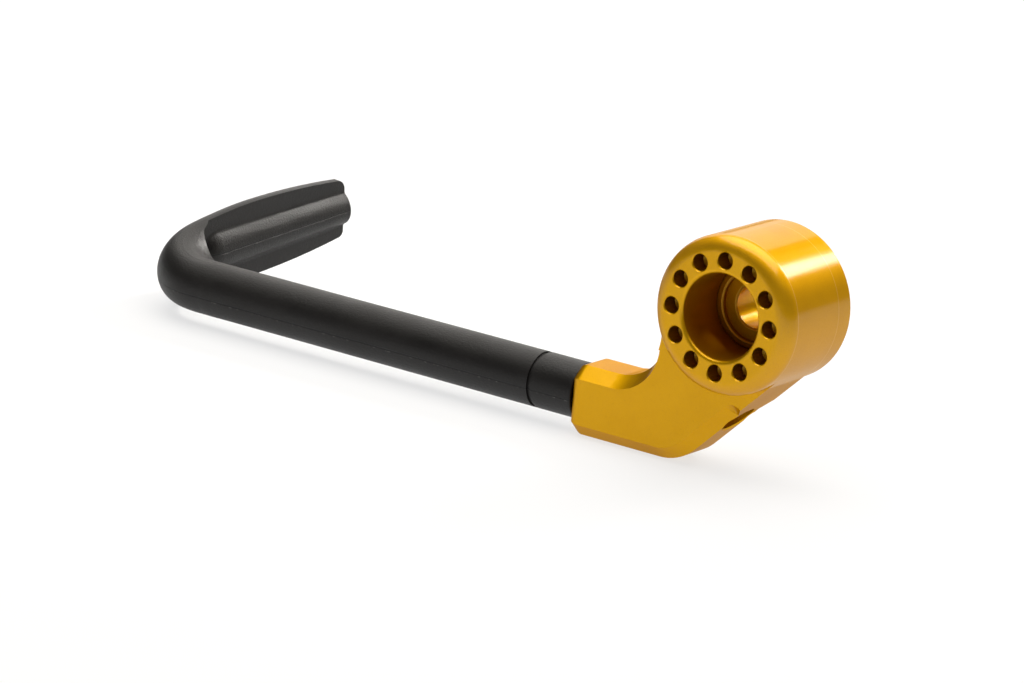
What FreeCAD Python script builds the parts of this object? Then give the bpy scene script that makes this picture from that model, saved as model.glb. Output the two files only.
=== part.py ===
import FreeCAD, Part
import math
import os
import re

import Sketcher

Vector = FreeCAD.Vector
Placement = FreeCAD.Placement
Rotation = FreeCAD.Rotation

# Driving dimensions in millimetres, angles in degrees.
# The origin is on the barrel's axis at the face that seats on the handlebar's end.
# +Y runs into the handlebar, +X from the guard's bend to the barrel, +Z up.
DIMENSIONS = {
    # barrel
    "barrel_diameter": 32.5,
    "barrel_length": 23.3,
    "front_rounding": 3.25,
    "rear_chamfer": 0.4,
    "bore_diameter": 17.5,
    "bore_depth": 12.5,
    "bore_rounding": 0.85,
    "seat_diameter": 14.3,
    "seat_depth": 1.0,
    "bolt_hole_diameter": 9.0,
    # ring of blind holes in the barrel's front face
    "hole_circle_diameter": 23.0,
    "ring_hole_diameter": 3.45,
    "ring_hole_depth": 4.0,
    "ring_hole_chamfer": 0.2,
    "ring_hole_count": 12,
    # arm that carries the rod
    "arm_setback": 5.75,
    "arm_thickness": 12.7,
    "arm_reach": 37.8,
    "arm_top": 19.45,
    "arm_bottom": 34.3,
    "arm_chamfer": 2.6,
    "end_rounding": 2.3,
    "neck_radius": 11.0,
    "neck_lean": 2.9,
    "heel_radius": 11.5,
    "chamfer_stop": 14.0,
    "cross_hole_diameter": 7.6,
    "cross_hole_offset": 17.0,
    "cross_hole_depth": 9.0,
    "cross_hole_chamfer": 0.3,
    # rod
    "rod_drop": 26.25,
    "rod_diameter": 12.0,
    "rod_length": 102.8,
    "shoulder_rounding": 0.4,
    "break_groove_distance": 10.6,
    "break_groove_width": 0.9,
    "break_groove_depth": 0.4,
    "rod_roll": 8.5,
    # spigot and its set screw
    "spigot_diameter": 7.5,
    "spigot_length": 17.0,
    "spigot_chamfer": 0.6,
    "fit_gap": 0.05,
    "socket_end_room": 0.5,
    "set_screw_diameter": 5.0,
    "set_screw_length": 5.0,
    "set_screw_distance": 8.0,
    "set_screw_point": 3.5,
    "set_screw_hex": 2.5,
    "retaining_groove_room": 0.2,
    "retaining_groove_depth": 1.0,
    # bend and blade
    "bend_radius": 13.0,
    "bend_angle": 99.0,
    "bend_lead": 6.0,
    "blade_length": 42.3,
    "blade_height": 18.4,
    "blade_peak": 14.0,
    "tip_height": 14.0,
    "upper_tip_corner": 2.8,
    "lower_tip_corner": 1.6,
    "channel_start": 3.95,
    "lobe_radius": 3.2,
    "lobe_offset": 4.4,
    "lobe_wrap": 55.0,
    "channel_flare": 17.0,
    "flare_length": 12.0,
    "floor_level": 0.15,
    "floor_tilt": 5.0,
    "rib_gap": 1.7,
    "rib_radius": 5.9,
    "rib_taper": 2.3,
    "rib_crest": 2.6,
    "crease_radius": 1.0,
}

SHEET = "Dims"
TINY = 1e-4


def make_sheet(doc):
    """Puts each driving dimension in a cell of its own, with its name as the alias."""
    sheet = doc.addObject("Spreadsheet::Sheet", SHEET)
    for row, (name, number) in enumerate(DIMENSIONS.items(), start=1):
        sheet.set(f"A{row}", name)
        sheet.set(f"B{row}", str(number))
        sheet.setAlias(f"B{row}", name)
    doc.recompute()
    return sheet


class Sizes:
    """Reads the sheet's cells by name, as plain numbers."""

    def __init__(self, sheet):
        self.sheet = sheet

    def __getattr__(self, name):
        return float(self.sheet.get(name))


def cell(expression):
    """Writes the sheet's name before each of its aliases in an expression."""
    def full_name(word):
        return f"{SHEET}.{word[0]}" if word[0] in DIMENSIONS else word[0]

    return re.sub(r"[a-z_]+", full_name, expression)


def bind(thing, **expressions):
    """Binds properties of an object to expressions of the sheet's cells."""
    for name, expression in expressions.items():
        thing.setExpression(name, cell(expression))


def origin_plane(body, role):
    """Finds one of a body's own origin planes."""
    return next(item for item in body.Origin.OriginFeatures if item.Role == role)


def body_sketch(body, name, role, lift=None):
    """Adds a sketch on one of the body's origin planes, lifted along its normal."""
    sketch = body.newObject("Sketcher::SketchObject", name)
    sketch.AttachmentSupport = [(origin_plane(body, role), "")]
    sketch.MapMode = "FlatFace"
    if lift:
        sketch.setExpression(".AttachmentOffset.Base.z", cell(lift))
    return sketch


class Outline:
    """Draws a closed outline of lines and arcs in a sketch, with every corner tied to the sheet."""

    def __init__(self, sketch):
        self.sketch = sketch

    def number(self, expression):
        """Works an expression out as a plain number."""
        result = self.sketch.evalExpression(cell(expression))
        return float(getattr(result, "Value", result))

    def tie(self, kind, *places, size):
        """Adds a constraint whose size is an expression."""
        index = self.sketch.addConstraint(Sketcher.Constraint(kind, *places, self.number(size)))
        self.sketch.setExpression(f"Constraints[{index}]", cell(size))

    def tie_corner(self, geometry, end, x, y):
        """Ties one end of a line to expressions for its two coordinates."""
        self.tie("DistanceX", -1, 1, geometry, end, size=x)
        self.tie("DistanceY", -1, 1, geometry, end, size=y)

    def draw(self, corners, arcs=()):
        """Joins the corners, each a pair of expressions, in order and back to the first.

        arcs maps the number of a corner to the radius of the arc from it to the next one, negative where
        the arc turns clockwise.
        """
        arcs = dict(arcs)
        points = [Vector(self.number(x), self.number(y), 0) for x, y in corners]
        ends = []
        for number, start in enumerate(points):
            finish = points[(number + 1) % len(points)]
            if number in arcs:
                ends.append(self._arc(start, finish, arcs[number]))
            else:
                ends.append((self.sketch.addGeometry(Part.LineSegment(start, finish)), 1, 2))
        for number, (geometry, first, last) in enumerate(ends):
            following, start, _ = ends[(number + 1) % len(ends)]
            self.sketch.addConstraint(Sketcher.Constraint("Coincident", geometry, last, following, start))
        for number, (x, y) in enumerate(corners):
            self.tie_corner(ends[number][0], ends[number][1], x, y)
        for number, radius in arcs.items():
            self.tie("Radius", ends[number][0], size=radius.lstrip("-"))

    def _arc(self, start, finish, radius):
        """Adds the short arc from start to finish and returns its geometry and its two ends."""
        size = self.number(radius.lstrip("-"))
        turn = -1 if radius.startswith("-") else 1
        chord = finish - start
        left = Vector(-chord.y, chord.x, 0).normalize() * turn
        centre = (start + finish) * 0.5 + left * math.sqrt(max(size ** 2 - chord.Length ** 2 / 4, 0))
        first, last = (start, finish) if turn > 0 else (finish, start)
        angles = [math.atan2(point.y - centre.y, point.x - centre.x) for point in (first, last)]
        circle = Part.Circle(centre, Vector(0, 0, 1), size)
        geometry = self.sketch.addGeometry(Part.ArcOfCircle(circle, angles[0], angles[1]))
        return (geometry, 1, 2) if turn > 0 else (geometry, 2, 1)


def place(thing, base, rotation=None):
    """Places an object at a point given by three expressions, turned by a fixed rotation."""
    thing.Placement = Placement(Vector(), rotation or Rotation())
    for axis, expression in zip("xyz", base):
        thing.setExpression(f".Placement.Base.{axis}", cell(expression))


# Places that several pieces share, as expressions of the driving dimensions.
BARREL_RADIUS = "(barrel_diameter / 2)"
ARM_FRONT = "(arm_setback - barrel_length)"
ARM_MIDDLE = "(arm_setback - barrel_length + arm_thickness / 2)"
ARM_BACK = "(arm_setback - barrel_length + arm_thickness)"
SLOPE = "cos(45)"
CHAMFER_STOP = (
    f"(({BARREL_RADIUS} - chamfer_stop) * {SLOPE})",
    f"(-({BARREL_RADIUS} + chamfer_stop) * {SLOPE})",
)
SLOPE_FOOT = (f"(-chamfer_stop * {SLOPE})", f"(-chamfer_stop * {SLOPE})")
HEEL_Z = "(heel_radius - arm_bottom)"
HEEL_X = f"({HEEL_Z} + ({BARREL_RADIUS} - heel_radius) / {SLOPE})"
SCREW_X = "(set_screw_distance - arm_reach)"

TURN_Z_TO_Y = Rotation(Vector(1, 0, 0), -90)
TURN_Z_TO_BACK_Y = Rotation(Vector(1, 0, 0), 90)
TURN_Z_TO_X = Rotation(Vector(0, 1, 0), 90)


def pad_across_arm(body, sketch, name):
    """Pads a sketch that lies on the arm's back face forward to the arm's front face."""
    pad = body.newObject("PartDesign::Pad", name)
    pad.Profile = sketch
    bind(pad, Length="arm_thickness")
    sketch.Visibility = False
    return pad


def neck_corners(top):
    """Gives the neck's corners above a top at this level: its arc's ends, then its wall's end on the barrel."""
    centre = f"(-({BARREL_RADIUS} + neck_radius + ({top} - neck_radius) * sin(neck_lean)) / cos(neck_lean))"
    return [
        (centre, f"-{top}"),
        (f"{centre} + neck_radius * cos(neck_lean)", f"neck_radius * (1 - sin(neck_lean)) - {top}"),
        (f"-{BARREL_RADIUS} * cos(neck_lean)", f"{BARREL_RADIUS} * sin(neck_lean)"),
    ]


def draw_arm(sketch):
    """Draws the arm's outline, from the end face over the neck and back along the slope and the underside."""
    corners = [
        ("-arm_reach", "-arm_bottom"),
        ("-arm_reach", "-arm_top"),
        *neck_corners("arm_top"),
        ("0", "0"),
        SLOPE_FOOT,
        CHAMFER_STOP,
        (f"{HEEL_X} + heel_radius * {SLOPE}", f"{HEEL_Z} - heel_radius * {SLOPE}"),
        (HEEL_X, "-arm_bottom"),
    ]
    Outline(sketch).draw(corners, {2: "neck_radius", 8: "-heel_radius"})


def bevel_top(body, name, face, back):
    """Bevels the arm's top along one face: the neck's arc runs out into its upright wall."""
    sketch = body_sketch(body, f"{name}_outline", "XZ_Plane", f"-{face}")
    arc_start, arc_end, _ = neck_corners("(arm_top + arm_chamfer)")
    corners = [("-arm_reach - 1", arc_start[1]), arc_start, arc_end, ("-arm_reach - 1", arc_end[1])]
    Outline(sketch).draw(corners, {1: "neck_radius"})
    pocket = body.newObject("PartDesign::Pocket", name)
    pocket.Profile = sketch
    pocket.UseCustomVector = True
    pocket.Direction = Vector(0, back, 1)
    pocket.AlongSketchNormal = True
    bind(pocket, Length="arm_chamfer")
    sketch.Visibility = False
    return pocket


def arm_rim(shape, sizes, heel_x, heel_z):
    """Names the edges of the arm's front and back faces along the underside, the heel and the slope."""
    front = sizes.arm_setback - sizes.barrel_length
    faces = (front, front + sizes.arm_thickness)

    def on_rim(point):
        below = abs(point.z + sizes.arm_bottom)
        heel = abs(math.hypot(point.x - heel_x, point.z - heel_z) - sizes.heel_radius)
        slope = abs((point.x - point.z) * math.cos(math.radians(45)) - sizes.barrel_diameter / 2)
        return min(below, heel, slope) < TINY

    names = []
    for number, edge in enumerate(shape.Edges, start=1):
        points = edge.discretize(3)
        on_face = any(all(abs(point.y - face) < TINY for point in points) for face in faces)
        if on_face and all(on_rim(point) for point in points):
            names.append(f"Edge{number}")
    return names


def end_edges(shape, sizes):
    """Names the edges around the arm's end face."""
    return [f"Edge{number}" for number, edge in enumerate(shape.Edges, start=1)
            if all(abs(point.x + sizes.arm_reach) < TINY for point in edge.discretize(3))]


def make_bar_end_body(doc, sizes):
    """Makes the billet body: the arm first, then the barrel around its root, then the holes."""
    body = doc.addObject("PartDesign::Body", "bar_end_body")

    arm_sketch = body_sketch(body, "arm_outline", "XZ_Plane", f"-{ARM_BACK}")
    draw_arm(arm_sketch)
    pad_across_arm(body, arm_sketch, "arm")
    bevel_top(body, "front_top_bevel", ARM_FRONT, 1)
    bevelled = bevel_top(body, "back_top_bevel", ARM_BACK, -1)
    doc.recompute()

    heel = [Outline(arm_sketch).number(expression) for expression in (HEEL_X, HEEL_Z)]
    rim = body.newObject("PartDesign::Chamfer", "arm_rim_chamfer")
    rim.Base = (bevelled, arm_rim(bevelled.Shape, sizes, *heel))
    bind(rim, Size="arm_chamfer")
    doc.recompute()
    soft_end = body.newObject("PartDesign::Fillet", "soft_end")
    soft_end.Base = (rim, end_edges(rim.Shape, sizes))
    bind(soft_end, Radius="end_rounding")

    # The slope keeps a sharp edge from the chamfer's run-out to the barrel.
    web_sketch = body_sketch(body, "web_outline", "XZ_Plane", f"-{ARM_BACK}")
    tangent = (f"{BARREL_RADIUS} * {SLOPE}", f"-{BARREL_RADIUS} * {SLOPE}")
    Outline(web_sketch).draw([("0", "0"), SLOPE_FOOT, CHAMFER_STOP, tangent])
    pad_across_arm(body, web_sketch, "slope_web")
    run_outs = {
        "front_run_out": (f"{ARM_FRONT} - 1", TURN_Z_TO_Y),
        "back_run_out": (f"{ARM_BACK} + 1", TURN_Z_TO_BACK_Y),
    }
    for name, (depth, turn) in run_outs.items():
        cone = body.newObject("PartDesign::SubtractiveCone", name)
        cone.Radius2 = 0
        bind(cone, Radius1="arm_chamfer + 1", Height="arm_chamfer + 1")
        place(cone, (CHAMFER_STOP[0], depth, CHAMFER_STOP[1]), turn)

    barrel_sketch = body_sketch(body, "barrel_profile", "YZ_Plane")
    barrel_corners = [
        ("-barrel_length", "0"),
        ("-barrel_length", f"{BARREL_RADIUS} - front_rounding"),
        ("front_rounding - barrel_length", BARREL_RADIUS),
        ("-rear_chamfer", BARREL_RADIUS),
        ("0", f"{BARREL_RADIUS} - rear_chamfer"),
        ("0", "0"),
    ]
    Outline(barrel_sketch).draw(barrel_corners, {1: "-front_rounding"})
    barrel = body.newObject("PartDesign::Revolution", "barrel")
    barrel.Profile = barrel_sketch
    barrel.ReferenceAxis = (barrel_sketch, ["H_Axis"])
    barrel.Angle = 360

    bore_sketch = body_sketch(body, "bore_profile", "YZ_Plane")
    seat_floor = "bore_depth + seat_depth - barrel_length"
    bore_corners = [
        ("-barrel_length - 1", "0"),
        ("-barrel_length - 1", "bore_diameter / 2 + bore_rounding"),
        ("-barrel_length", "bore_diameter / 2 + bore_rounding"),
        ("bore_rounding - barrel_length", "bore_diameter / 2"),
        ("bore_depth - barrel_length", "bore_diameter / 2"),
        ("bore_depth - barrel_length", "seat_diameter / 2"),
        (seat_floor, "seat_diameter / 2"),
        (seat_floor, "bolt_hole_diameter / 2"),
        ("1", "bolt_hole_diameter / 2"),
        ("1", "0"),
    ]
    Outline(bore_sketch).draw(bore_corners, {2: "bore_rounding"})
    bore = body.newObject("PartDesign::Groove", "stepped_bore")
    bore.Profile = bore_sketch
    bore.ReferenceAxis = (bore_sketch, ["H_Axis"])
    bore.Angle = 360
    doc.recompute()

    ring_sketch = body_sketch(body, "ring_hole_place", "XZ_Plane", "barrel_length")
    ring_outline = Outline(ring_sketch)
    first_hole = Vector(0, sizes.hole_circle_diameter / 2, 0)
    circle = ring_sketch.addGeometry(Part.Circle(first_hole, Vector(0, 0, 1), sizes.ring_hole_diameter / 2))
    ring_outline.tie_corner(circle, 3, "0", "hole_circle_diameter / 2")
    ring_outline.tie("Radius", circle, size="ring_hole_diameter / 2")
    doc.recompute()
    ring_hole = body.newObject("PartDesign::Hole", "ring_hole")
    ring_hole.Profile = ring_sketch
    ring_hole.DepthType = "Dimension"
    ring_hole.DrillPoint = "Angled"
    ring_hole.HoleCutType = "Countersink"
    ring_hole.HoleCutCustomValues = True
    ring_hole.HoleCutCountersinkAngle = 90
    bind(ring_hole, Diameter="ring_hole_diameter", Depth="ring_hole_depth",
         HoleCutDiameter="ring_hole_diameter + 2 * ring_hole_chamfer")
    doc.recompute()
    ring = body.newObject("PartDesign::PolarPattern", "hole_ring")
    ring.Originals = [ring_hole]
    ring.Axis = (ring_sketch, ["N_Axis"])
    ring.Angle = 360
    bind(ring, Occurrences="ring_hole_count")
    body.Tip = ring
    doc.recompute()

    drill_into_slope(body)
    drill_for_rod(body)
    doc.recompute()
    return body


def drill_into_slope(body):
    """Drills the cross hole square to the slope, with a chamfered mouth and the drill's cone at its end."""
    inward = Rotation(Vector(0, 0, 1), Vector(-1, 0, 1))
    radius = "cross_hole_diameter / 2"
    mouth = f"{radius} + cross_hole_chamfer + 1"
    pieces = {
        "cross_hole": ("-1", "cross_hole_depth + 1", radius, radius),
        "cross_hole_mouth": ("-1", mouth, mouth, "0"),
        "cross_hole_point": ("cross_hole_depth", f"{radius} * 0.6", radius, "0"),
    }
    for name, (start, length, wide, narrow) in pieces.items():
        straight = wide == narrow
        hole = body.newObject(f"PartDesign::Subtractive{'Cylinder' if straight else 'Cone'}", name)
        if straight:
            bind(hole, Radius=wide, Height=length)
        else:
            hole.Radius2 = 0
            bind(hole, Radius1=wide, Height=length)
        base = (
            f"({BARREL_RADIUS} - cross_hole_offset - ({start})) * {SLOPE}",
            ARM_MIDDLE,
            f"(({start}) - {BARREL_RADIUS} - cross_hole_offset) * {SLOPE}",
        )
        place(hole, base, inward)


def drill_for_rod(body):
    """Bores the socket for the rod's spigot and the set screw's hole up to it."""
    socket = body.newObject("PartDesign::SubtractiveCylinder", "rod_socket")
    bind(socket, Radius="spigot_diameter / 2 + fit_gap", Height="spigot_length + socket_end_room + 1")
    place(socket, ("-arm_reach - 1", ARM_MIDDLE, "-rod_drop"), TURN_Z_TO_X)
    screw_hole = body.newObject("PartDesign::SubtractiveCylinder", "set_screw_hole")
    bind(screw_hole, Radius="set_screw_diameter / 2 + fit_gap", Height="arm_bottom - rod_drop + 1")
    place(screw_hole, (SCREW_X, ARM_MIDDLE, "-arm_bottom - 1"))


def make_set_screw(doc):
    """Makes the hexagon socket set screw that clamps the spigot from the arm's underside."""
    point = "((set_screw_diameter - set_screw_point) / 2)"
    end = "(-rod_drop - spigot_diameter / 2 + retaining_groove_depth - fit_gap - set_screw_length)"
    shank = doc.addObject("Part::Cylinder", "screw_shank")
    bind(shank, Radius="set_screw_diameter / 2", Height=f"set_screw_length - {point}")
    place(shank, (SCREW_X, ARM_MIDDLE, end))
    tip = doc.addObject("Part::Cone", "screw_point")
    bind(tip, Radius1="set_screw_diameter / 2", Radius2="set_screw_point / 2", Height=point)
    place(tip, (SCREW_X, ARM_MIDDLE, f"{end} + set_screw_length - {point}"))
    whole = doc.addObject("Part::MultiFuse", "screw_solid")
    whole.Shapes = [shank, tip]
    hexagon = doc.addObject("Part::Prism", "screw_hexagon")
    hexagon.Polygon = 6
    bind(hexagon, Circumradius="set_screw_hex / 2 / cos(30)", Height="set_screw_hex + 1")
    place(hexagon, (SCREW_X, ARM_MIDDLE, f"{end} - 1"))
    screw = doc.addObject("Part::Cut", "rod_set_screw")
    screw.Base = whole
    screw.Tool = hexagon
    doc.recompute()
    return screw


def blade_turn(angle):
    """Turns X along the rod after a bend of this angle, Y across the bend and Z to its inner side."""
    return Rotation(Vector(0, 0, 1), 180 - angle) * Rotation(Vector(1, 0, 0), 90)


def bend_point(sizes, angle):
    """Finds the rod's axis after a bend of this angle, in the rod's own frame."""
    turned = math.radians(angle)
    along = -sizes.rod_length - sizes.bend_radius * math.sin(turned)
    return Vector(along, sizes.bend_radius * (1 - math.cos(turned)), 0)


def make_stem(doc):
    """Turns the straight rod with its spigot, retaining groove, shoulder and break groove."""
    profile = doc.addObject("Sketcher::SketchObject", "stem_profile")
    spigot = "spigot_diameter / 2"
    rod = "rod_diameter / 2"
    neck = "spigot_diameter / 2 - retaining_groove_depth"
    groove = "(set_screw_diameter / 2 + retaining_groove_room)"
    corners = [
        ("spigot_length", "0"),
        ("spigot_length", f"{spigot} - spigot_chamfer"),
        ("spigot_length - spigot_chamfer", spigot),
        (f"set_screw_distance + {groove}", spigot),
        (f"set_screw_distance + {groove}", neck),
        (f"set_screw_distance - {groove}", neck),
        (f"set_screw_distance - {groove}", spigot),
        ("0", spigot),
        ("0", f"{rod} - shoulder_rounding"),
        ("-shoulder_rounding", rod),
        ("break_groove_width / 2 - break_groove_distance", rod),
        ("break_groove_width / 2 - break_groove_distance", f"{rod} - break_groove_depth"),
        ("-break_groove_width / 2 - break_groove_distance", f"{rod} - break_groove_depth"),
        ("-break_groove_width / 2 - break_groove_distance", rod),
        ("bend_lead - rod_length", rod),
        ("bend_lead - rod_length", "0"),
    ]
    Outline(profile).draw(corners, {8: "shoulder_rounding"})
    stem = doc.addObject("Part::Revolution", "stem")
    stem.Source = profile
    stem.Axis = Vector(1, 0, 0)
    stem.Angle = 360
    stem.Solid = True
    return stem


def make_blade(doc, sizes):
    """Lofts the bend and the blade through ellipses, as deep as the rod and higher along the bend."""
    sections = []

    def add_section(base, turn, half_height):
        ellipse = doc.addObject("Part::Ellipse", f"section_{len(sections) + 1}")
        bind(ellipse, MinorRadius="rod_diameter / 2", MajorRadius=half_height)
        ellipse.Placement = Placement(base, turn * Rotation(Vector(1, 1, 1), 120))
        sections.append(ellipse)

    rise_length = "(bend_radius * bend_angle * pi / 180 + blade_peak)"
    rise = "(blade_height / 2 - rod_diameter / 2)"
    fall = "(blade_height / 2 - tip_height / 2)"

    def rising(distance):
        share = f"(({distance}) / {rise_length})"
        return f"rod_diameter / 2 + {rise} * {share} ^ 2 * (3 - 2 * {share})"

    lead_steps = 2
    for step in range(lead_steps):
        base = Vector(sizes.bend_lead * (1 - step / lead_steps) - sizes.rod_length, 0, 0)
        add_section(base, blade_turn(0), "rod_diameter / 2")
    bend_steps = 8
    for step in range(bend_steps + 1):
        angle = sizes.bend_angle * step / bend_steps
        distance = f"bend_radius * bend_angle * pi / 180 * {step} / {bend_steps}"
        add_section(bend_point(sizes, angle), blade_turn(angle), rising(distance))
    turn = blade_turn(sizes.bend_angle)
    end = bend_point(sizes, sizes.bend_angle)
    along = turn.multVec(Vector(1, 0, 0))
    rise_steps = 4
    for step in range(1, rise_steps):
        distance = f"bend_radius * bend_angle * pi / 180 + blade_peak * {step} / {rise_steps}"
        add_section(end + along * (sizes.blade_peak * step / rise_steps), turn, rising(distance))
    fall_steps = 7
    for step in range(fall_steps + 1):
        reach = sizes.blade_peak + (sizes.blade_length - sizes.blade_peak) * step / fall_steps
        add_section(end + along * reach, turn, f"blade_height / 2 - {fall} * ({step} / {fall_steps}) ^ 2")
    blade = doc.addObject("Part::Loft", "bend_and_blade")
    blade.Sections = sections
    blade.Solid = True
    blade.Ruled = False
    return blade


def blade_tool(doc, name, corners, arcs, frame, low, length):
    """Extrudes an outline drawn in the blade's plane, from a level on its inner or outer side."""
    sketch = doc.addObject("Sketcher::SketchObject", f"{name}_outline")
    Outline(sketch).draw(corners, arcs)
    sketch.Placement = frame * Placement(Vector(0, 0, low), Rotation())
    tool = doc.addObject("Part::Extrusion", name)
    tool.Base = sketch
    tool.DirMode = "Normal"
    tool.Solid = True
    bind(tool, LengthFwd=length)
    return tool


def make_channel(doc, sizes, frame):
    """Makes the recess on the blade's inner side, with the half-round rib left standing in it."""
    over = "(blade_height)"
    lobe = "(lobe_radius - channel_start)"
    inner = (f"{lobe} - lobe_radius * cos(lobe_wrap)", "(lobe_offset - lobe_radius * sin(lobe_wrap))")
    outer = (
        f"({lobe} - lobe_radius * sin(channel_flare))",
        "(lobe_offset + lobe_radius * cos(channel_flare))",
    )
    mouth = (
        f"{outer[0]} + flare_length * cos(channel_flare)",
        f"({outer[1]} + flare_length * sin(channel_flare))",
    )
    upper = [inner, outer, mouth, (mouth[0], over), (f"blade_length + {over}", over)]
    lower = [(x, f"-{y}") for x, y in reversed(upper)]
    # The channel's floor leans: it lies higher along the blade's upper edge than along the lower one.
    leaning = frame * Placement(Vector(), Rotation(Vector(1, 0, 0), sizes.floor_tilt))
    recess = blade_tool(doc, "channel_recess", upper + lower, {0: "-lobe_radius", 8: "-lobe_radius"}, leaning,
                        sizes.floor_level, "2 * rod_diameter")

    profile = doc.addObject("Sketcher::SketchObject", "rib_profile")
    run = f"(blade_length + 2 * {over})"
    tangent = ("rib_radius * sin(rib_taper)", "rib_radius * cos(rib_taper)")
    corners = [
        ("-rib_radius", "0"),
        tangent,
        (run, f"{tangent[1]} - ({run} - {tangent[0]}) * tan(rib_taper)"),
        (run, "0"),
    ]
    Outline(profile).draw(corners, {0: "-rib_radius"})
    # The rib's axis rises by its taper, so that its crest runs level along the blade.
    level = Rotation(Vector(0, 1, 0), -sizes.rib_taper) * Rotation(Vector(1, 0, 0), -90)
    nose = sizes.rib_gap - sizes.channel_start
    ball = Vector(nose + sizes.rib_radius, 0, sizes.rib_crest - sizes.rib_radius)
    profile.Placement = frame * Placement(ball, level)
    rib = doc.addObject("Part::Revolution", "rib")
    rib.Source = profile
    rib.Base = profile.Placement.Base
    rib.Axis = profile.Placement.Rotation.multVec(Vector(1, 0, 0))
    rib.Angle = 360
    rib.Solid = True
    channel = doc.addObject("Part::Cut", "channel")
    channel.Base = recess
    channel.Tool = rib
    doc.recompute()

    # The rib meets the channel's floor in a soft crease.
    crease = doc.addObject("Part::Fillet", "soft_channel")
    crease.Base = channel
    blade_side = leaning.inverse()
    walls = Part.Compound(recess.Shape.Edges)
    chosen = []
    for number, edge in enumerate(channel.Shape.Edges, start=1):
        if edge.Degenerated:
            continue
        points = edge.discretize(5)
        spots = [blade_side.multVec(point) for point in points]
        on_floor = all(abs(spot.z - sizes.floor_level) < TINY for spot in spots)
        off_walls = walls.distToShape(Part.Vertex(points[2]))[0] > TINY
        before_end = any(spot.x < sizes.blade_length for spot in spots)
        if on_floor and off_walls and before_end:
            chosen.append((number, sizes.crease_radius, sizes.crease_radius))
    crease.Edges = chosen
    return crease


def round_tip(doc, sizes, corner, frame, side):
    """Makes the tool that rounds the blade's upper or lower corner at its tip, by this cell's radius."""
    shoulder = f"(blade_length - {corner})"
    height = ("(blade_height / 2 - (blade_height - tip_height) / 2"
              f" * (({shoulder} - blade_peak) / (blade_length - blade_peak)) ^ 2)")
    over = "blade_height"
    corners = [
        (shoulder, height),
        ("blade_length", f"({height} - {corner})"),
        (f"blade_length + {over}", f"({height} - {corner})"),
        (f"blade_length + {over}", over),
        (shoulder, over),
    ]
    if side < 0:
        corners = [(x, f"-{y}") for x, y in corners]
    turn = "-" if side > 0 else ""
    return blade_tool(doc, f"{corner}_tool", corners, {0: turn + corner}, frame, -sizes.rod_diameter,
                      "2 * rod_diameter")


def make_guard_rod(doc, sizes):
    """Makes the moulded guard: the turned stem, the lofted bend and blade, and the channel with its rib."""
    frame = Placement(bend_point(sizes, sizes.bend_angle), blade_turn(sizes.bend_angle))
    whole = doc.addObject("Part::MultiFuse", "plain_guard")
    whole.Shapes = [make_stem(doc), make_blade(doc, sizes)]
    channel = make_channel(doc, sizes, frame)

    sides = {"upper_tip_corner": 1, "lower_tip_corner": -1}
    tips = [round_tip(doc, sizes, corner, frame, side) for corner, side in sides.items()]
    cutters = doc.addObject("Part::MultiFuse", "guard_cutters")
    cutters.Shapes = [channel] + tips
    guard = doc.addObject("Part::Cut", "guard_rod")
    guard.Base = whole
    guard.Tool = cutters
    place(guard, ("-arm_reach", ARM_MIDDLE, "-rod_drop"), Rotation(Vector(1, 0, 0), sizes.rod_roll))
    doc.recompute()
    return guard


def check(doc):
    """Stops the build if any object of the document is broken."""
    for item in doc.Objects:
        if "Invalid" in item.State or "Error" in item.State:
            raise RuntimeError(f"{item.Label} is broken: {item.State}")
        shape = getattr(item, "Shape", None)
        if shape is not None and (shape.isNull() or not shape.isValid()):
            raise RuntimeError(f"{item.Label} has no valid shape")


def main():
    doc = FreeCAD.newDocument("lever_guard")
    sizes = Sizes(make_sheet(doc))
    pieces = [make_bar_end_body(doc, sizes), make_guard_rod(doc, sizes), make_set_screw(doc)]
    doc.recompute()
    check(doc)
    os.makedirs("parts", exist_ok=True)
    for piece in pieces:
        if len(piece.Shape.Solids) != 1:
            raise RuntimeError(f"{piece.Label} is not one solid")
        piece.Shape.exportStep(f"parts/{piece.Label}.step")


main()
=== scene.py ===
import math

import bpy
from mathutils import Matrix, Vector


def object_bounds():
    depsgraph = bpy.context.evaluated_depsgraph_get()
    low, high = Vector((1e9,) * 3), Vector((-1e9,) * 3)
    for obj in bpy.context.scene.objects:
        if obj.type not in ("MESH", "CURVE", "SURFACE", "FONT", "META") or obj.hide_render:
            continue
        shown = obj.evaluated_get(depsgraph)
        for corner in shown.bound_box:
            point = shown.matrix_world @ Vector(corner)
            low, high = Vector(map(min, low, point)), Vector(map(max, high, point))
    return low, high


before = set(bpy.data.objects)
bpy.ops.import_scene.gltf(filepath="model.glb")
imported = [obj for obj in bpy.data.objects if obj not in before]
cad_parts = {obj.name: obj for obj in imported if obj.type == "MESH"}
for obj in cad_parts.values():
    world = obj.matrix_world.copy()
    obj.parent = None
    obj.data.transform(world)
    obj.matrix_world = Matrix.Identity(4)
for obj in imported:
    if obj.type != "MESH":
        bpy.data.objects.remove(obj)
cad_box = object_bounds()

# Places of the object, in metres, in the model's frame. The barrel turns about the Y axis.
BARREL_RADIUS = 0.01625
BARREL_FRONT = -0.0233
BARREL_MIDDLE = (0.0, -0.012, 0.0)
TURNED_SKIN_START = (0.0125, 0.0150)
TOOL_MARKS = (-0.0048, -0.0199)
TOOL_MARK_HALF = 0.00012
BORE_RADIUS = 0.00875
BORE_FLOOR = -0.0108
SEAT_RADIUS = 0.00715
BOLT_HOLE_RADIUS = 0.0045
RING_HOLES = (0.0097, 0.0133)
RIM_WIDTH = 0.0005
ROD_AXIS_Y = -0.0112
ROD_AXIS_Z = -0.02625
ROD_ROLL = math.radians(8.5)
PARTING_HALF = 0.00020
PARTING_LIP = (-0.00050, -0.00016)
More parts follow.
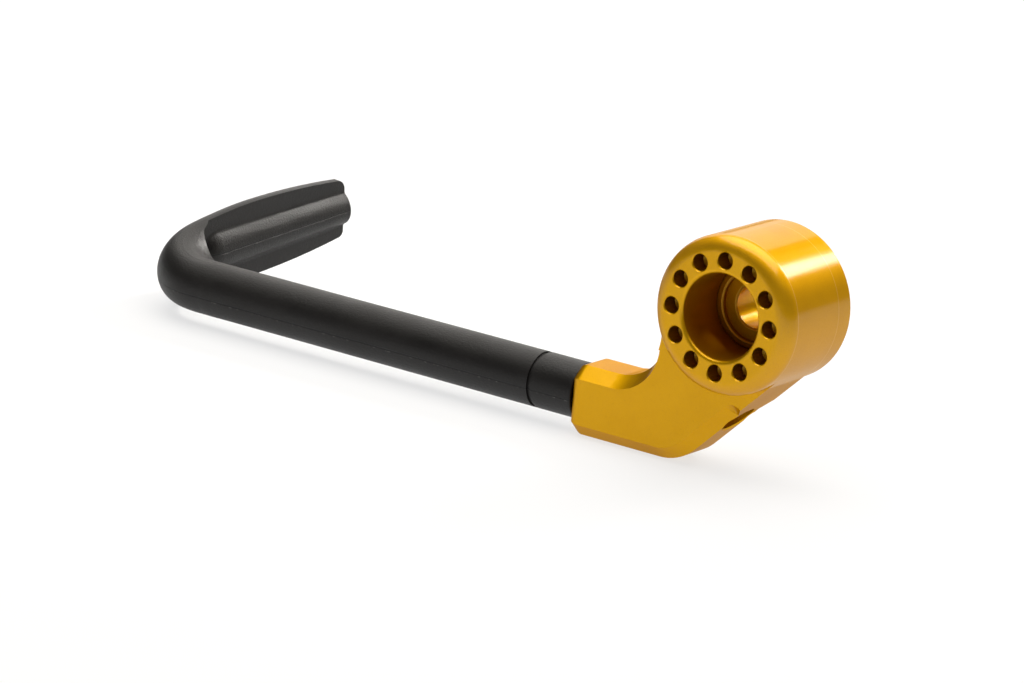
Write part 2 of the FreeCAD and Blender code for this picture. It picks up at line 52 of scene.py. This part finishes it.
BLADE_MIDDLE = (-0.135, 0.018, -0.022)

# Colours of the finishes: pairs are the two ends of a cloudy tone.
GOLD = ((0.68, 0.350, 0.001), (0.73, 0.385, 0.002))
GOLD_EDGE_TINT = (0.30, 0.21, 0.09, 1.0)
GOLD_LINE = (0.72, 0.39, 0.02)
GOLD_SPECK = (0.52, 0.250, 0.001)
# Painted shade: the gold inside the bore is darkened to look shaded.
GOLD_PAINTED_SHADE_IN_BORE = (0.40, 0.165, 0.002)
# Painted shade: the gold inside the ring's holes is darkened to look shaded.
GOLD_PAINTED_SHADE_IN_HOLES = (0.42, 0.235, 0.004)
# Painted highlight: the rims of the bore's stepped floor are lightened to look lit.
GOLD_PAINTED_RIM_HIGHLIGHT = (0.95, 0.58, 0.07)
# Painted highlight: the tool marks are lightened to look like a lit line.
GOLD_PAINTED_TOOL_MARK_HIGHLIGHT = (0.90, 0.60, 0.20)
BLACK = ((0.0052, 0.0044, 0.0038), (0.0085, 0.0074, 0.0066))
BLACK_SPECK = (0.016, 0.0140, 0.0125)
BLACK_LIP = (0.055, 0.052, 0.050)
BLACK_PARTING = (0.0016, 0.0015, 0.0014)
STEEL = ((0.030, 0.030, 0.033), (0.085, 0.083, 0.082))

# The studio: a pale light table just under the object, an even world and slightly warm lamps.
FLOOR = ((0.20, 0.20, 0.20), (0.22, 0.22, 0.22))
FLOOR_GLOW = 0.72
FLOOR_SIDE = 6.0
FLOOR_GAP = 0.00002
WORLD_BRIGHTNESS = 0.10
WHITE = (1.0, 1.0, 1.0, 1.0)
LIGHT_COLOUR = (1.0, 0.965, 0.915)

# The photograph's camera.
CAMERA_PLACE = Vector((0.41055, -0.68602, 0.20327))
CAMERA_AHEAD = Vector((-0.54990, 0.79294, -0.26240)).normalized()
CAMERA_UP = Vector((-0.21776, 0.16719, 0.96157))
SENSOR_WIDTH_MM = 36.0
LENS_MM = 143.57


class Graph:
    """A material's node tree, with short calls for the nodes that the finishes share."""

    def __init__(self, name):
        self.material = bpy.data.materials.new(name)
        self.material.use_nodes = True
        self.nodes = self.material.node_tree.nodes
        self.links = self.material.node_tree.links
        self.shader = self.nodes["Principled BSDF"]
        self.place = self.nodes.new("ShaderNodeTexCoord").outputs["Object"]
        self.x, self.y, self.z = self.node("ShaderNodeSeparateXYZ", {"Vector": self.place}).outputs

    def node(self, kind, inputs, **settings):
        """Adds a node, sets its settings, and feeds each input with a number or another node's output."""
        made = self.nodes.new(kind)
        for key, value in settings.items():
            setattr(made, key, value)
        for key, value in inputs.items():
            if isinstance(value, bpy.types.NodeSocket):
                self.links.new(value, made.inputs[key])
            else:
                made.inputs[key].default_value = value
        return made

    def sum(self, operation, first, second=0.0, third=0.0):
        """Works out a number from one to three others."""
        return self.node("ShaderNodeMath", {0: first, 1: second, 2: third}, operation=operation).outputs[0]

    def both(self, first, second):
        """Multiplies two masks, or a mask and a number."""
        return self.sum("MULTIPLY", first, second)

    def noise(self, size, detail=2.0, along=None, rough=0.5):
        """Makes a noise whose grain has this size, in space or along one number."""
        inputs = {"Scale": 1.0 / size, "Detail": detail, "Roughness": rough}
        if along is None:
            return self.node("ShaderNodeTexNoise", {"Vector": self.place, **inputs}).outputs["Fac"]
        return self.node("ShaderNodeTexNoise", {"W": along, **inputs}, noise_dimensions="1D").outputs["Fac"]

    def span(self, value, start, end, low=0.0, high=1.0):
        """Maps one range of numbers smoothly onto another."""
        inputs = {"Value": value, "From Min": start, "From Max": end, "To Min": low, "To Max": high}
        return self.node("ShaderNodeMapRange", inputs, interpolation_type="SMOOTHSTEP").outputs["Result"]

    def below(self, value, limit, fade):
        """Gives 1 up to a limit and 0 from a fade's width past it."""
        return self.span(value, limit, limit + fade, 1.0, 0.0)

    def band(self, value, start, end, fade):
        """Gives 1 between two limits and 0 outside them, with soft edges inside the limits."""
        return self.both(self.span(value, start, start + fade), self.below(value, end - fade, fade))

    def mix(self, share, first, second):
        """Mixes two colours by a share."""
        made = self.nodes.new("ShaderNodeMix")
        made.data_type = "RGBA"
        colours = [socket for socket in made.inputs if socket.type == "RGBA"]
        self.links.new(share, made.inputs[0])
        for socket, colour in zip(colours, (first, second)):
            if isinstance(colour, bpy.types.NodeSocket):
                self.links.new(colour, socket)
            else:
                socket.default_value = (*colour, 1.0)
        return next(socket for socket in made.outputs if socket.type == "RGBA")

    def bump(self, height, depth, after=None):
        """Turns a height from 0 to 1 into a bump of this depth, on top of another one."""
        inputs = {"Height": height, "Distance": depth, "Strength": 1.0}
        if after is not None:
            inputs["Normal"] = after
        return self.node("ShaderNodeBump", inputs).outputs["Normal"]

    def feed(self, **outputs):
        """Links outputs to the shader's sockets, named with underscores for spaces."""
        for key, value in outputs.items():
            self.links.new(value, self.shader.inputs[key.replace("_", " ")])

    def set(self, **numbers):
        """Sets the shader's constant sockets."""
        for key, value in numbers.items():
            self.shader.inputs[key.replace("_", " ")].default_value = value


def anodised_gold():
    """Gold anodised aluminium: turned lines around the barrel, a blasted grain on the arm, painted shade in
    the bore and the holes, and a painted highlight on the rims and along the tool marks.
    """
    graph = Graph("anodised_gold")
    graph.set(Metallic=1.0, Specular_Tint=GOLD_EDGE_TINT, Coat_Roughness=0.14, Coat_IOR=1.6)
    radius = graph.sum("SQRT", graph.sum("MULTIPLY_ADD", graph.z, graph.z, graph.both(graph.x, graph.x)))
    barrel = graph.below(radius, BARREL_RADIUS + 0.0001, 0.0003)
    turned_skin = graph.both(barrel, graph.span(radius, *TURNED_SKIN_START))
    path = graph.sum("ADD", radius, graph.y)
    fine_lines = graph.noise(0.00018, along=path, detail=3.0, rough=0.7)
    broad_lines = graph.noise(0.0016, along=path)
    grain = graph.noise(0.00026, rough=0.6)
    cloud = graph.noise(0.009, detail=3.0)

    # Masks of the bore, its stepped floor, the ring's blind holes and the tool's marks around the barrel.
    in_depth = graph.band(graph.y, BARREL_FRONT + 0.0003, BORE_FLOOR + 0.0012, 0.0004)
    in_bore = graph.both(in_depth, graph.below(radius, BORE_RADIUS, 0.0002))
    in_holes = graph.both(in_depth, graph.band(radius, *RING_HOLES, 0.0001))
    in_bolt_hole = graph.below(radius, BOLT_HOLE_RADIUS, 0.0001)
    near_floors = graph.band(graph.y, BORE_FLOOR - 0.0004, BORE_FLOOR + 0.0016, 0.0002)
    on_floors = graph.both(near_floors, graph.below(radius, BORE_RADIUS - 0.0003, 0.0003))
    edges = (SEAT_RADIUS, BOLT_HOLE_RADIUS)
    steps = [graph.span(radius, edge, edge + RIM_WIDTH) for edge in edges]
    steps = graph.both(graph.sum("ADD", *steps), on_floors)
    rims = [graph.band(radius, edge, edge + 1.2 * RIM_WIDTH, 0.0002) for edge in edges]
    rims = graph.both(graph.sum("ADD", *rims), on_floors)
    marks = [graph.band(graph.y, mark - TOOL_MARK_HALF, mark + TOOL_MARK_HALF, 0.0001) for mark in TOOL_MARKS]
    marks = graph.both(graph.sum("ADD", *marks), turned_skin)

    # The relief, from the grain to the broken rims.
    turned = graph.sum("MULTIPLY_ADD", broad_lines, 0.6, fine_lines)
    lines = graph.both(turned, graph.sum("MULTIPLY_ADD", in_bolt_hole, 4.0, barrel))
    blasted = graph.both(grain, graph.span(barrel, 0.0, 1.0, 1.0, 0.35))
    normal = graph.bump(graph.sum("ADD", lines, blasted), depth=0.000008)
    normal = graph.bump(marks, depth=0.000015, after=normal)
    normal = graph.bump(steps, depth=0.0004, after=normal)

    # The colour, with painted shade inside the bore and the holes, a painted highlight on the rims and along
    # the tool marks, and the gloss, which the bore lacks.
    colour = graph.mix(graph.span(cloud, 0.3, 0.7), *GOLD)
    colour = graph.mix(graph.both(graph.span(fine_lines, 0.45, 0.85, 0.0, 0.5), barrel), colour, GOLD_LINE)
    colour = graph.mix(graph.span(grain, 0.58, 0.80, 0.0, 0.35), colour, GOLD_SPECK)
    # Painted shade inside the bore.
    colour = graph.mix(graph.both(in_bore, 0.85), colour, GOLD_PAINTED_SHADE_IN_BORE)
    # Painted shade inside the ring's holes.
    colour = graph.mix(graph.both(in_holes, 0.8), colour, GOLD_PAINTED_SHADE_IN_HOLES)
    # Painted highlight on the rims of the stepped floor.
    colour = graph.mix(graph.both(rims, 0.9), colour, GOLD_PAINTED_RIM_HIGHLIGHT)
    # Painted highlight along the tool marks, on top of their bump.
    colour = graph.mix(graph.both(marks, 0.6), colour, GOLD_PAINTED_TOOL_MARK_HIGHLIGHT)
    roughness = graph.span(graph.sum("MULTIPLY_ADD", cloud, 0.5, grain), 0.4, 1.1, 0.40, 0.50)
    roughness = graph.sum("MULTIPLY_ADD", in_bore, 0.2, roughness)
    roughness = graph.sum("MULTIPLY_ADD", turned_skin, 0.13, roughness)
    gloss = graph.sum("MULTIPLY_ADD", in_bore, -0.2, graph.span(turned_skin, 0.0, 1.0, 0.20, 0.45))
    graph.feed(Base_Color=colour, Roughness=roughness, Coat_Weight=gloss, Normal=normal)
    return graph.material


def black_polymer():
    """Black moulded polymer: an eroded mould's matte grain, and its parting line along the rod's middle."""
    graph = Graph("black_polymer")
    graph.set(Specular_IOR_Level=0.33)
    rise = graph.both(graph.sum("SUBTRACT", graph.z, ROD_AXIS_Z), math.cos(ROD_ROLL))
    aside = graph.sum("SUBTRACT", graph.y, ROD_AXIS_Y)
    height = graph.sum("MULTIPLY_ADD", aside, -math.sin(ROD_ROLL), rise)
    waver = graph.sum("MULTIPLY_ADD", graph.noise(0.02), 0.00016, -0.00008)
    place = graph.sum("ADD", height, waver)
    parting = graph.band(place, -PARTING_HALF, PARTING_HALF, 0.00008)
    lip = graph.band(place, *PARTING_LIP, 0.00010)
    path = graph.sum("SUBTRACT", graph.y, graph.x)
    flecks = graph.span(graph.noise(0.0016, along=path, detail=3.0, rough=0.7), 0.52, 0.72)
    grain = graph.noise(0.00042, detail=3.0, rough=0.65)
    cloud = graph.noise(0.012, detail=3.0)

    colour = graph.mix(graph.span(cloud, 0.3, 0.7), *BLACK)
    colour = graph.mix(graph.span(grain, 0.55, 0.80, 0.0, 0.4), colour, BLACK_SPECK)
    colour = graph.mix(graph.both(lip, flecks), colour, BLACK_LIP)
    colour = graph.mix(parting, colour, BLACK_PARTING)
    roughness = graph.span(graph.sum("MULTIPLY_ADD", grain, 0.4, cloud), 0.4, 1.0, 0.42, 0.54)
    normal = graph.bump(grain, depth=0.00009)
    normal = graph.bump(graph.sum("SUBTRACT", 1.0, parting), depth=0.00010, after=normal)
    graph.feed(Base_Color=colour, Roughness=roughness, Normal=normal)
    return graph.material


def black_steel():
    """Blackened steel of the set screw, a little worn on its grain."""
    graph = Graph("black_steel")
    graph.set(Metallic=1.0)
    grain = graph.noise(0.0003, detail=3.0)
    colour = graph.mix(graph.span(grain, 0.35, 0.75), *STEEL)
    roughness = graph.span(grain, 0.3, 0.7, 0.30, 0.45)
    graph.feed(Base_Color=colour, Roughness=roughness, Normal=graph.bump(grain, depth=0.00001))
    return graph.material


def dress(node, material):
    """Gives a CAD node its finish."""
    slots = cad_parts[node].data.materials
    slots.clear()
    slots.append(material)


def make_floor(level):
    """Lays a plain pale light table under the object, which softens its shadow."""
    graph = Graph("studio_floor")
    graph.set(Roughness=0.9, Specular_IOR_Level=0.1, Emission_Color=WHITE, Emission_Strength=FLOOR_GLOW)
    graph.feed(Base_Color=graph.mix(graph.noise(0.3), *FLOOR))
    corners = [(x * FLOOR_SIDE, y * FLOOR_SIDE, level) for x, y in ((-1, -1), (1, -1), (1, 1), (-1, 1))]
    mesh = bpy.data.meshes.new("floor")
    mesh.from_pydata(corners, [], [(0, 1, 2, 3)])
    mesh.materials.append(graph.material)
    floor = bpy.data.objects.new("floor", mesh)
    bpy.context.scene.collection.objects.link(floor)


def make_light(name, place, target, size, watts, spread=math.pi):
    """Hangs a soft square light that faces the target, with a beam of this width."""
    data = bpy.data.lights.new(name, "AREA")
    data.shape = "RECTANGLE"
    data.size, data.size_y = size
    data.energy = watts
    data.spread = spread
    data.color = LIGHT_COLOUR
    light = bpy.data.objects.new(name, data)
    light.location = place
    light.rotation_euler = (Vector(target) - Vector(place)).to_track_quat("-Z", "Y").to_euler()
    bpy.context.scene.collection.objects.link(light)


def make_world(brightness):
    """Fills the studio with even light."""
    world = bpy.data.worlds.new("studio")
    world.use_nodes = True
    background = world.node_tree.nodes["Background"]
    background.inputs["Color"].default_value = WHITE
    background.inputs["Strength"].default_value = brightness
    bpy.context.scene.world = world


def make_camera():
    """Stands the camera where the photograph was taken."""
    data = bpy.data.cameras.new("camera")
    data.sensor_fit = "HORIZONTAL"
    data.sensor_width = SENSOR_WIDTH_MM
    data.lens = LENS_MM
    data.clip_start, data.clip_end = 0.01, 50.0
    camera = bpy.data.objects.new("camera", data)
    right = CAMERA_AHEAD.cross(CAMERA_UP).normalized()
    up = right.cross(CAMERA_AHEAD)
    turn = Matrix((right, up, -CAMERA_AHEAD)).transposed()
    camera.matrix_world = Matrix.Translation(CAMERA_PLACE) @ turn.to_4x4()
    bpy.context.scene.collection.objects.link(camera)
    bpy.context.scene.camera = camera


dress("bar_end_body", anodised_gold())
dress("guard_rod", black_polymer())
dress("rod_set_screw", black_steel())

middle = (cad_box[0] + cad_box[1]) / 2
make_floor(cad_box[0].z - FLOOR_GAP)
make_world(WORLD_BRIGHTNESS)
make_light("overhead", place=(-0.1, 0.1, 1.1), target=middle, size=(1.6, 1.4), watts=23.0)
make_light("back_panel", place=(-0.75, 1.0, 0.5), target=middle, size=(1.2, 0.8), watts=5.6)
make_light("streak", place=(0.25, 0.68, 0.49), target=BARREL_MIDDLE, size=(0.18, 0.22), watts=2.2)
make_light("blade", place=(-0.02, 0.34, 0.20), target=BLADE_MIDDLE, size=(0.10, 0.10), watts=0.09,
           spread=math.radians(30.0))
make_camera()
bpy.context.scene.view_settings.view_transform = "Standard"
